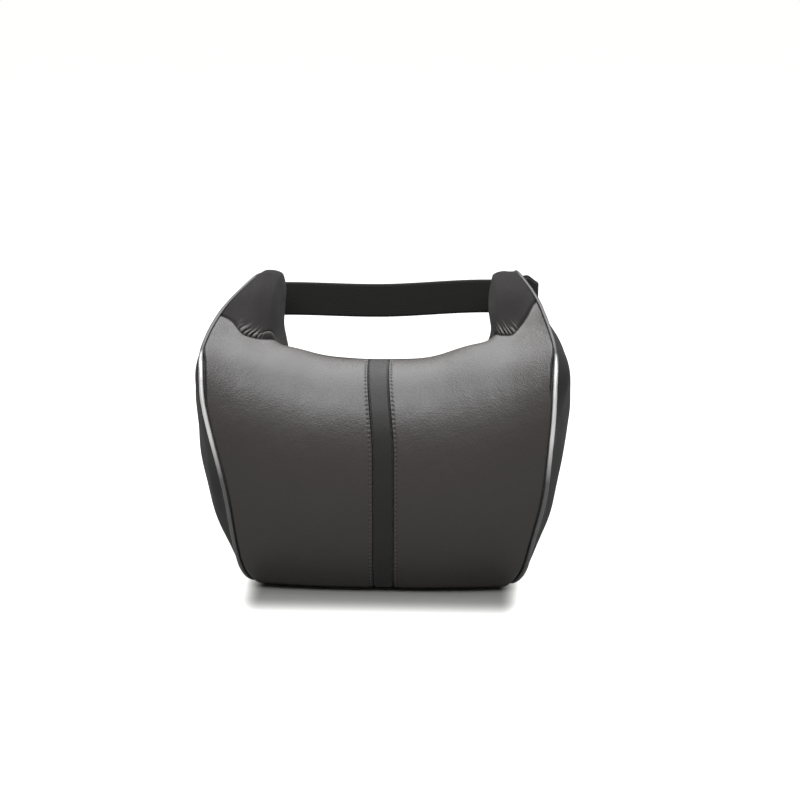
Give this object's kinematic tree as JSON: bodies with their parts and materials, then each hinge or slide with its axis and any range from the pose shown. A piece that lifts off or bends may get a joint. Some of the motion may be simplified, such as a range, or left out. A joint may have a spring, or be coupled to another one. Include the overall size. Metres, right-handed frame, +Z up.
{
  "type": "car neck pillow",
  "caption": "Saddle-shaped foam neck pillow with a leather front, knitted back and arms, piped side panels and an elastic strap that closes it behind a headrest.",
  "frame": {"origin": "middle of the pillow's footprint, strap included, on the surface that it stands on", "axes": "+Z up, -Y out of the leather front, +Y back along the arms to the strap, +X to the right as seen from the front"},
  "size_m": [0.295, 0.1836, 0.235],
  "materials": {
    "leather": "fine-grained black leather with a satin sheen",
    "smooth_leather": "smooth black leather, satin",
    "vinyl": "glossy black vinyl over a cord",
    "knit": "dark grey knitted fabric",
    "webbing": "black woven elastic",
    "foam": "moulded polyurethane foam"
  },
  "bodies": {
    "root": {"foam_core": "foam", "front_panel_left": "leather", "front_panel_right": "leather", "centre_strip": "smooth_leather", "side_panel_left": "leather", "side_panel_right": "leather", "piping_left": "vinyl", "piping_right": "vinyl", "back_panel": "knit", "strap": "webbing"}
  },
  "joints": []
}
